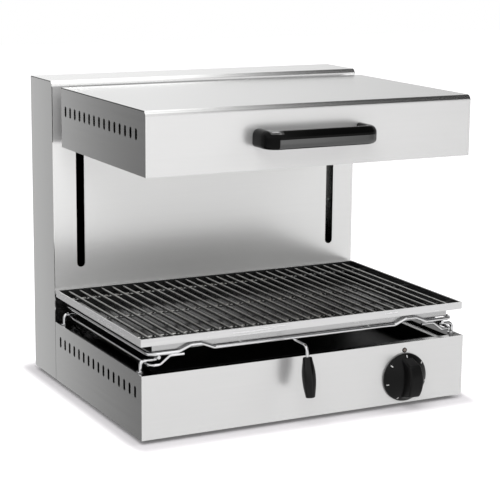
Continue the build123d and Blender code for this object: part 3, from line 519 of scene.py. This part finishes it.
# The top flanges of the base sides are painted black, as painted shade under the rails and grate.
BASE_SIDE_STEEL = brushed_steel(
    "base_side_steel", "y", 0.13, seams=[within("base_side_left", right=OVER_TO_RIGHT, front=379.6)],
    painted_shade=[within("base_side_left", left=1.6, right=OVER_TO_RIGHT_FLANGE, floor=103.5)],
)
INNER_STEEL = zinc_steel("zinc_inner_steel", tone=0.48)
# Near-black zinc sheet: painted shade on the base floor and the hood back, which stand in shade.
SHADE_BLACK_ZINC = zinc_steel("zinc_painted_shade_black", tone=0.10)
CHROME = plated_wire("chrome_wire", (0.90, 0.90, 0.91), rough=0.05)
BRIGHT_ROD = plated_wire("ground_rod", (0.66, 0.66, 0.67), rough=0.14)
ZINC_SCREW = plated_wire("zinc_fastener", (0.60, 0.61, 0.63), rough=0.24)
WIRE_STEEL = plated_wire("grate_wire_steel", (0.85, 0.85, 0.84), rough=0.10)
GRATE_STEEL = burnt_steel("burnt_grate_steel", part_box("grate_bars")[1].z - CREST_HIGHLIGHT_DEPTH)
REFLECTOR = reflector_steel("heat_tinted_reflector")
SHEATH = scaled_sheath("element_sheath_oxide")
WOOL = wool_mat("mineral_wool_mat")
CERAMIC = steatite("steatite_bead")
# The coat boxes paint a reflection on the handle's lower front and a highlight at its top left corner.
GLOSS_BLACK = lacquered_black("glossy_black_handle", [
    within("hood_handle", left=22, right=10, back=42, lid=13),
    within("hood_handle", left=10, right=176, back=25, floor=24.5),
])
SATIN_BLACK = moulded_black("satin_black_plastic", tone=0.003, rough=0.28, mirror=1.27)
GRIP_BLACK = moulded_black("polished_black_grip", tone=0.002, rough=0.10, mirror=1.35)
RUBBER = foot_rubber("foot_rubber_black")
LAMP_LENS = smoked_lens("smoked_pilot_lens")
BRONZE = sintered_bronze("sintered_bronze_bush")
NYLON = cast_nylon("cast_nylon_pulley")
ROPE = stranded_rope("stranded_wire_rope")
WEIGHT = painted_iron("painted_cast_weight")
DIAL_INK = dial_print("white_dial_print")
TRAY_STEEL = lined_steel("tray_steel_and_enamel", tone=0.62, metal=1.0, lining=(0.007, 0.36, 0.0), boxes=[
    within("drip_tray", left=14.5, right=14.5, back=9),
])
PAN_STEEL = lined_steel("pan_steel_and_enamel", tone=0.62, metal=0.8, lining=(0.06, 0.15, 0.9), boxes=[
    within("fat_pan", front=8.8), within("fat_pan", floor=11.5),
])
BAND_STEEL = lined_steel("grate_band_steel", tone=0.75, metal=0.65, lining=(0.012, 0.30, 0.0), boxes=[
    within("grate_band", left=2, right=2, front=2, back=2, lid=0.6),
])

NODE_FINISHES = {
    HOOD_STEEL: ("hood_cover",),
    BASE_STEEL: ("base_front_panel",),
    COLUMN_STEEL: ("column_front",),
    REAR_STEEL: ("column_rear_cover",),
    COLUMN_SIDE_STEEL: ("column_side_left", "column_side_right"),
    HOOD_SIDE_STEEL: ("hood_side_left", "hood_side_right"),
    BASE_SIDE_STEEL: ("base_side_left", "base_side_right"),
    SHADE_BLACK_ZINC: ("base_floor", "hood_back"),
    INNER_STEEL: (
        "upper_rod_bracket", "lower_rod_bracket", "carriage_plate", "carriage_blocks",
        "pulley_brackets", "hood_arm_left", "hood_arm_right", "rope_anchors", "element_supports",
    ),
    TRAY_STEEL: ("drip_tray",),
    PAN_STEEL: ("fat_pan",),
    BAND_STEEL: ("grate_band",),
    CHROME: ("slide_frame", "rack_rail_left", "rack_rail_right", "rail_leg_washers"),
    BRIGHT_ROD: ("guide_rods", "weight_rods", "pulley_axles", "regulator_shaft"),
    ZINC_SCREW: ("arm_bolts", "handle_screws", "rail_leg_nuts", "rear_cover_screws", "regulator_nut"),
    GRATE_STEEL: ("grate_bars",),
    WIRE_STEEL: ("grate_cross_wires",),
    REFLECTOR: ("reflector",),
    SHEATH: ("heating_elements",),
    WOOL: ("insulation_slab",),
    CERAMIC: ("element_insulators", "terminal_block"),
    GLOSS_BLACK: ("hood_handle",),
    SATIN_BLACK: (
        "dial_knob", "pull_grip", "power_regulator", "pilot_lamp_body", "cable_gland", "gland_nut",
    ),
    RUBBER: ("base_feet",),
    LAMP_LENS: ("pilot_lamp_lens",),
    BRONZE: ("guide_bushes",),
    NYLON: ("rope_pulley_left", "rope_pulley_right"),
    ROPE: ("rope_turns", "rope_front_runs", "rope_rear_runs"),
    WEIGHT: ("counterweight",),
}


def dress_nodes():
    """Give every CAD node its finish."""
    for finish, nodes in NODE_FINISHES.items():
        for node in nodes:
            coat(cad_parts[node], finish)


def coat(piece, finish):
    piece.data.materials.clear()
    piece.data.materials.append(finish)


def clear_selection():
    if bpy.context.mode != "OBJECT":
        bpy.ops.object.mode_set(mode="OBJECT")
    bpy.ops.object.select_all(action="DESELECT")


def take_up(piece):
    """Select one finished piece alone and make it the active one."""
    clear_selection()
    piece.select_set(True)
    bpy.context.view_layer.objects.active = piece


def open_piece(name):
    """Name the primitive just added, put its place in its mesh and open it for editing."""
    piece = bpy.context.object
    piece.name = name
    piece.data.name = name
    bpy.ops.object.transform_apply(location=True, rotation=True, scale=True)
    bpy.ops.object.mode_set(mode="EDIT")
    bpy.ops.mesh.select_all(action="SELECT")
    return piece


def choose(piece, kind, test):
    """Select the open piece's corners, edges or faces that pass a test."""
    bpy.ops.mesh.select_mode(type=kind)
    bpy.ops.mesh.select_all(action="DESELECT")
    mesh = bmesh.from_edit_mesh(piece.data)
    parts = {"VERT": mesh.verts, "EDGE": mesh.edges, "FACE": mesh.faces}[kind]
    parts.ensure_lookup_table()
    for part in parts:
        if test(part):
            part.select_set(True)
    mesh.select_flush_mode()
    bmesh.update_edit_mesh(piece.data)


def round_corners(radius, segments):
    bpy.ops.mesh.bevel(offset=radius, segments=segments, affect="VERTICES")


def pull_on(shift):
    bpy.ops.mesh.extrude_region_move(TRANSFORM_OT_translate={"value": shift})


def close_piece(piece, angle=38.0):
    """Merge, close and turn the open piece's faces outwards, and smooth what isn't an edge."""
    bpy.ops.mesh.select_mode(type="VERT")
    bpy.ops.mesh.select_all(action="SELECT")
    bpy.ops.mesh.remove_doubles(threshold=0.002 * MM)
    bpy.ops.mesh.fill_holes(sides=0)
    bpy.ops.mesh.normals_make_consistent(inside=False)
    bpy.ops.object.mode_set(mode="OBJECT")
    bpy.ops.object.shade_smooth_by_angle(angle=math.radians(angle))
    return piece


def add_modifier(piece, kind, **settings):
    """Add a modifier to a finished mesh and apply it."""
    take_up(piece)
    modifier = piece.modifiers.new(kind.title(), kind)
    for key, value in settings.items():
        setattr(modifier, key, value)
    bpy.ops.object.modifier_apply(modifier=modifier.name)


def twin(piece, name, shift):
    """A copy of a piece, with its own mesh, moved into place."""
    take_up(piece)
    bpy.ops.object.duplicate(linked=False)
    copy = bpy.context.object
    copy.name = name
    copy.data.name = name
    copy.location = shift
    bpy.ops.object.transform_apply(location=True, rotation=False, scale=False)
    return copy


def fit(piece, body, slot, finish, *nodes):
    """Finish a piece and set it on its body, in place of the nodes that it stands for."""
    coat(piece, finish)
    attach(piece, body)
    if nodes:
        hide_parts(*nodes)


def turned(name, base, axis, profile, sides=48):
    """A lathe-turned piece: a disc is drawn out and resized along an axis.

    The profile lists heights and radii, in millimetres.
    """
    clear_selection()
    tilt = axis.to_track_quat("Z", "Y").to_euler()
    height, radius = profile[0]
    bpy.ops.mesh.primitive_circle_add(
        vertices=sides, radius=radius * MM, fill_type="NGON", location=base + axis * height * MM, rotation=tilt
    )
    piece = open_piece(name)
    for (h0, r0), (h1, r1) in zip(profile, profile[1:]):
        pull_on(axis * (h1 - h0) * MM)
        bpy.ops.transform.resize(value=(r1 / r0,) * 3, center_override=base + axis * h1 * MM)
    return close_piece(piece)


def back_centre(node):
    """The middle of the rear side of a node's box."""
    low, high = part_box(node)
    return Vector(((low.x + high.x) / 2, high.y, (low.z + high.z) / 2))


def hood_handle():
    """Glossy bow handle: a rounded section drawn forward, round a bend, across and back to the hood."""
    low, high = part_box("hood_handle")
    root = front_of("hood_cover")
    middle = (low.z + high.z) / 2
    width, bend, bend_steps = 18 * MM, 26 * MM, 14
    outer_top, outer_bottom, inner = 11 * MM, 7 * MM, 4.5 * MM
    straight = root - low.y - bend
    turn_y = low.y + bend
    clear_selection()
    bpy.ops.mesh.primitive_plane_add(
        size=1.0, location=(low.x + width / 2, root, middle), rotation=(math.pi / 2, 0, 0)
    )
    bpy.context.object.scale = (width, high.z - low.z, 1)
    bow = open_piece("hood_bow_handle")
    choose(bow, "VERT", lambda v: v.co.x < low.x + MM and v.co.z > middle)
    round_corners(outer_top, 8)
    choose(bow, "VERT", lambda v: v.co.x < low.x + MM and v.co.z < low.z + MM)
    round_corners(outer_bottom, 6)
    choose(bow, "VERT", lambda v: v.co.x > low.x + width - MM)
    round_corners(inner, 5)
    bpy.ops.mesh.select_all(action="SELECT")
    pull_on(Vector((0, -straight, 0)))
    for centre_x, run_on in (
        (low.x + bend, Vector((high.x - low.x - 2 * bend, 0, 0))),
        (high.x - bend, Vector((0, straight, 0))),
    ):
        bpy.ops.mesh.spin(
            steps=bend_steps, angle=-math.pi / 2, center=(centre_x, turn_y, middle), axis=(0, 0, 1)
        )
        pull_on(run_on)
    close_piece(bow, angle=50.0)
    fit(bow, "hood", "black_gloss", GLOSS_BLACK, "hood_handle")


DIAL_PROFILE = [
    (0.0, 40.6), (0.6, 41.3), (1.6, 41.5), (3.0, 41.4), (4.4, 40.6), (6.2, 38.8), (10.6, 32.5), (15.0, 25.8),
    (18.8, 19.0), (21.0, 13.0), (21.8, 7.0),
]
DIAL_CONE_SLOPE = math.atan2(10.6 - 6.2, 38.8 - 32.5)


def dial_knob():
    """Control knob: a coned dial with a rolled rim and a pocket behind, a finger bar and printed marks."""
    base = back_centre("dial_knob")
    pocket_wall, pocket_depth = 27.6 * MM, 4.5 * MM
    dial = turned("dial_cone", base, -Y, DIAL_PROFILE, 96)
    bpy.ops.object.mode_set(mode="EDIT")
    choose(dial, "FACE", lambda f: f.normal.y > 0.99)
    bpy.ops.mesh.inset(thickness=pocket_wall, depth=0)
    pull_on(Vector((0, -pocket_depth, 0)))
    close_piece(dial)
    fit(dial, "knob", "black_matte", SATIN_BLACK, "dial_knob")
    finger_bar(base, front_of("dial_knob"))
    dial_ticks(base)


def finger_bar(base, crest):
    """High grip across the dial, with sloping ends, a crowned top, bowed sides and eased edges."""
    half_width, half_length = 12.5 * MM, 36 * MM
    foot = base.y - 4 * MM
    end_narrowing, end_fall = 0.13, 8 * MM
    top_depth, top_length_share = 10 * MM, 0.75
    eased_edge, near = 2.6 * MM, 0.2 * MM
    clear_selection()
    bpy.ops.mesh.primitive_cube_add(
        size=1.0, location=(base.x, (foot + crest) / 2, base.z),
        scale=(2 * half_width, foot - crest, 2 * half_length),
    )
    bar = open_piece("dial_finger_bar")
    rows = [i / 5 for i in range(-4, 5)]
    for row in rows:
        bpy.ops.mesh.select_all(action="SELECT")
        bpy.ops.mesh.bisect(plane_co=(base.x, 0, base.z + row * half_length), plane_no=(0, 0, 1))
    for row in [-1.0] + rows + [1.0]:
        level = base.z + row * half_length
        choose(bar, "VERT", lambda v: abs(v.co.z - level) < near)
        bpy.ops.transform.resize(
            value=(1 - end_narrowing * row * row, 1, 1), center_override=(base.x, 0, level)
        )
        choose(bar, "VERT", lambda v: abs(v.co.z - level) < near and v.co.y < crest + near)
        bpy.ops.transform.translate(value=(0, end_fall * row * row, 0))
    choose(bar, "VERT", lambda v: v.co.y < crest + top_depth)
    bpy.ops.transform.resize(value=(1, 1, top_length_share), center_override=base)
    close_piece(bar)
    add_modifier(
        bar, "BEVEL", width=eased_edge, segments=4, limit_method="ANGLE", angle_limit=math.radians(40)
    )
    bpy.ops.object.shade_smooth_by_angle(angle=math.radians(38))
    fit(bar, "knob", "black_matte", SATIN_BLACK)


def dial_ticks(base):
    """White printed marks that lie on the dial's cone, near its rim."""
    count, radius, height = 7, 37.4 * MM, 7.2 * MM
    length, thickness, width = 4.6 * MM, 0.3 * MM, 1.8 * MM
    corner, near = 0.5 * MM, 0.2 * MM
    for i in range(count):
        angle = math.radians(90 - i * 360 / count)
        radial = Vector((math.cos(angle), 0, math.sin(angle)))
        down = radial * math.cos(DIAL_CONE_SLOPE) + Y * math.sin(DIAL_CONE_SLOPE)
        out = radial * math.sin(DIAL_CONE_SLOPE) - Y * math.cos(DIAL_CONE_SLOPE)
        turn = Matrix((down, out, down.cross(out))).transposed()
        clear_selection()
        bpy.ops.mesh.primitive_cube_add(
            size=1.0, location=base + radial * radius - Y * height, rotation=turn.to_euler(),
            scale=(length, thickness, width),
        )
        tick = open_piece(f"dial_tick_{i + 1}")
        choose(tick, "EDGE", lambda e: abs((e.verts[0].co - e.verts[1].co).dot(out)) > near)
        bpy.ops.mesh.bevel(offset=corner, segments=3, affect="EDGES")
        close_piece(tick)
        fit(tick, "knob", "ceramic", DIAL_INK)


def pull_grip():
    """Barrel grip of the rack's pull rod, swollen in the middle and leaning out at the bottom."""
    low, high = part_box("pull_grip")
    lean = math.radians(11)
    axis = Vector((0, math.sin(lean), math.cos(lean)))
    reach = 8 * MM
    base = Vector(((low.x + high.x) / 2, low.y + reach * math.cos(lean), low.z + reach * math.sin(lean)))
    barrel = [
        (0.0, 5.6), (0.3, 6.6), (1.0, 7.5), (2.2, 8.0), (6.0, 8.6), (12.0, 9.6), (20.0, 10.7), (28.0, 11.3),
        (36.0, 11.45), (43.0, 11.1), (50.0, 10.2), (56.0, 9.1), (61.0, 8.2), (64.0, 7.8), (65.4, 7.3),
        (66.0, 6.3),
    ]
    grip = turned("rack_barrel_grip", base, axis, barrel, 56)
    fit(grip, "rack", "black_matte", GRIP_BLACK, "pull_grip")


def pilot_lamp():
    """Smoky lens standing out of the front panel in a thin black bezel."""
    low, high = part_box("pilot_lamp_lens")
    base = back_centre("pilot_lamp_lens")
    deep = (high.y - low.y) / MM
    rim = [
        (0, 4.1), (deep - 1.2, 4.15), (deep - 0.8, 4.0), (deep - 0.6, 3.6), (deep - 0.7, 3.3), (deep - 1.4, 3.2),
    ]
    dome = [(deep - 1.5, 3.1), (deep - 0.8, 3.05), (deep - 0.3, 2.5), (deep - 0.08, 1.6), (deep, 0.7)]
    bezel = turned("pilot_bezel", base, -Y, rim, 40)
    fit(bezel, "cabinet", "black_matte", SATIN_BLACK, "pilot_lamp_lens")
    lens = turned("pilot_dome", base, -Y, dome, 40)
    fit(lens, "cabinet", "lamp_amber", LAMP_LENS, "pilot_lamp_lens")


def feet():
    """Rubber feet, waisted a little, with a moulded ring round the floor face."""
    low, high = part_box("base_feet")
    radius = 15 * MM
    ringed = [
        (0.0, 9.0), (0.5, 9.4), (0.5, 11.0), (0.0, 11.4), (0.0, 13.2), (0.6, 14.0), (2.0, 14.2), (5.4, 14.8),
        (8.0, 15.0),
    ]
    first = Vector((low.x + radius, low.y + radius, low.z))
    foot = turned("rubber_foot_1", first, Z, ringed)
    far = Vector((high.x - low.x - 2 * radius, high.y - low.y - 2 * radius, 0))
    shifts = [(far.x, 0, 0), (0, far.y, 0), (far.x, far.y, 0)]
    copies = [twin(foot, f"rubber_foot_{i + 2}", shift) for i, shift in enumerate(shifts)]
    for piece in [foot] + copies:
        fit(piece, "cabinet", "foot_rubber", RUBBER, "base_feet")


def lift_ropes():
    """Rope runs at both sides, in place of the front and rear runs."""
    radius, rings = 1.5, 24
    for node, body in (("rope_front_runs", "hood"), ("rope_rear_runs", "counterweight_bar")):
        low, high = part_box(node)
        for side, x in (("left", low.x + radius * MM), ("right", high.x - radius * MM)):
            base = Vector((x, (low.y + high.y) / 2, low.z))
            tall = (high.z - low.z) / MM
            rope = turned(f"{node}_{side}", base, Z, [(tall * i / rings, radius) for i in range(rings + 1)], 10)
            coat(rope, ROPE)
            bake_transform(rope)
            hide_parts(node)


FLOOR_SIZE = 14.0
FLOOR_PAINT = (0.68, 0.66, 0.68)
# The floor glows white from so many metres off the base, and less near the base, a painted shadow that deepens
# its contact shadow.
SHADOW_REACH = (0.012, 0.065)
FLOOR_GLOW = (0.10, 0.8)
SIDE_SQUEEZE = 1.8


def studio_floor():
    """Pale floor that shows white, with its glow faded near the base as painted shadow round the object's own
    shadow.
    """
    clear_selection()
    bpy.ops.mesh.primitive_plane_add(size=FLOOR_SIZE, location=(0, 0, 0))
    floor = bpy.context.object
    floor.name = "studio_floor"
    floor.visible_glossy = False
    f = new_finish("studio_floor_white")
    x, y = f.axes()[:2]
    front, back = front_of("base_front_panel"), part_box("column_rear_cover")[1].y
    aside = (x.size() - cad_high.x).larger(0.0) * SIDE_SQUEEZE
    ahead = ((y - (front + back) / 2).size() - (back - front) / 2).larger(0.0)
    clear = (aside * aside + ahead * ahead).math("SQRT")
    seen = f.node("ShaderNodeLightPath", output="Is Camera Ray")
    paint = f.node("ShaderNodeBsdfDiffuse", sockets={"Color": shade(FLOOR_PAINT)})
    # Painted shadow: the camera sees the floor glow less close to the base.
    strength = seen * f.rise(clear, *SHADOW_REACH, *FLOOR_GLOW)
    glow = f.node("ShaderNodeEmission", sockets={"Color": shade(1.0), "Strength": strength})
    both = f.node("ShaderNodeAddShader", sockets={0: paint, 1: glow})
    f.node("ShaderNodeOutputMaterial", sockets={"Surface": both})
    floor.data.materials.append(f.owner)


# What the metal mirrors. Walls: levels from the front, round by the left, the back and the right.
WALLS = [
    (0.00, 0.68), (0.10, 0.72), (0.20, 0.60), (0.30, 0.20), (0.436, 0.15), (0.4385, 0.17), (0.4405, 0.22),
    (0.4425, 0.33), (0.4438, 0.54), (0.446, 0.66), (0.455, 0.88), (0.475, 0.76), (0.535, 0.76), (0.555, 0.90),
    (0.566, 0.88), (0.597, 0.65), (0.655, 0.60), (0.705, 0.52), (0.80, 0.48), (0.88, 0.58), (0.903, 0.70),
    (0.918, 1.0), (0.935, 1.13), (0.95, 1.10), (0.97, 0.72), (1.0, 0.68),
]
# Ceiling: levels from left to right, overhead and in front, both dark at the right.
DARK_RIGHT = [(0.722, 0.45), (0.732, 0.22), (0.742, 0.09), (0.75, 0.05), (1.0, 0.04)]
CEILING = [(0.0, 1.0), (0.55, 1.0), (0.66, 1.6), (0.706, 1.6), (0.715, 1.0), *DARK_RIGHT]
FRONT_CEILING = [(0.0, 0.86), (0.66, 0.86), (0.685, 1.15), (0.706, 1.15), (0.715, 0.8), *DARK_RIGHT]
FLOOR_LEVEL, ZENITH_LEVEL, SOFTBOX_LEVEL, AMBIENT_LEVEL = 0.78, 0.75, 6.0, 0.55
# Where one part of the room passes into the next, as heights and depths of a ray of length 1.
FRONT_WALL_TOP = (0.02, 0.22)
REAR_WALL_TOP = (0.42, 0.56)
FLOOR_LINE = (-0.27, -0.18)
ZENITH_EDGE = (0.90, 0.95)
BACK_HALF = (-0.1, 0.2)
FRONT_END = (-0.45, -0.65)
SOFTBOX = ((-0.02, 0.24, 0.0), (0.35, 0.36, 2.0))


def mirrored_room(w):
    """Pale walls and ceiling with a softbox overhead, dark at the left and at the upper right."""
    x, y, z = w.split(w.node("ShaderNodeTexCoord", output="Generated"))
    turn = x.math("ARCTAN2", y) * (0.5 / math.pi) + 0.5
    across = x * 0.5 + 0.5
    behind = w.rise(y, *BACK_HALF)
    over_front_wall = w.rise(z, *FRONT_WALL_TOP)
    overhead = over_front_wall + (w.rise(z, *REAR_WALL_TOP) - over_front_wall) * behind
    floor = w.rise(z, *FLOOR_LINE, 1.0, 0.0) * (1 - behind)
    walls = w.mix(floor, w.ramp(turn, WALLS), FLOOR_LEVEL)
    ceiling = w.mix(w.rise(y, *FRONT_END), w.ramp(across, CEILING), w.ramp(across, FRONT_CEILING))
    high_up = w.mix(w.rise(z, *ZENITH_EDGE), ceiling, ZENITH_LEVEL)
    room = w.mix(overhead, walls, high_up)
    return w.mix(inside((x, y, z), [SOFTBOX]), room, SOFTBOX_LEVEL)


def studio_world():
    """White surroundings, an even soft light, and a room that only the mirroring metal sees."""
    world = bpy.data.worlds.new("studio_white")
    scene.world = world
    w = Finish(world)
    paths = w.node("ShaderNodeLightPath").socket.node.outputs
    seen = Signal(w, paths["Is Camera Ray"]).larger(Signal(w, paths["Is Transmission Ray"]))
    glossy = Signal(w, paths["Is Glossy Ray"])
    lit = w.mix(glossy, AMBIENT_LEVEL, mirrored_room(w))
    back = w.node("ShaderNodeBackground", sockets={"Color": w.mix(seen, lit, 1.0), "Strength": 1.0})
    w.node("ShaderNodeOutputWorld", sockets={"Surface": back})


def studio_lamps():
    soft_lamp("key_softbox", place=(-1.2, -2.0, 2.4), aim=(0, 0, 0.25), size=2.4, power=60)
    soft_lamp("right_softbox", place=(2.2, -1.6, 1.6), aim=(0, 0, 0.2), size=1.6, power=30)


def soft_lamp(name, place, aim, size, power):
    clear_selection()
    tilt = (Vector(aim) - Vector(place)).to_track_quat("-Z", "Y").to_euler()
    bpy.ops.object.light_add(type="AREA", location=place, rotation=tilt)
    lamp = bpy.context.object
    lamp.name = name
    lamp.data.shape = "DISK"
    lamp.data.size = size
    lamp.data.energy = power
    lamp.visible_glossy = False


def photo_camera():
    """Camera where the photograph was taken from."""
    place = (-1.2691, -2.47555, 0.8269)
    azimuth, elevation, roll = -0.4743, 0.206, 0.0096
    lens, sensor = 117.78, 36.0
    flat = math.cos(elevation)
    look = Vector((-math.sin(azimuth) * flat, math.cos(azimuth) * flat, -math.sin(elevation)))
    turn = look.to_track_quat("-Z", "Y").to_matrix() @ Matrix.Rotation(roll, 3, "Z")
    bpy.ops.object.camera_add(location=place, rotation=turn.to_euler())
    camera = bpy.context.object
    camera.data.lens = lens
    camera.data.sensor_width = sensor
    scene.camera = camera


photo_camera()
dress_nodes()
hood_handle()
dial_knob()
pull_grip()
pilot_lamp()
feet()
lift_ropes()
studio_floor()
studio_world()
studio_lamps()
clear_selection()
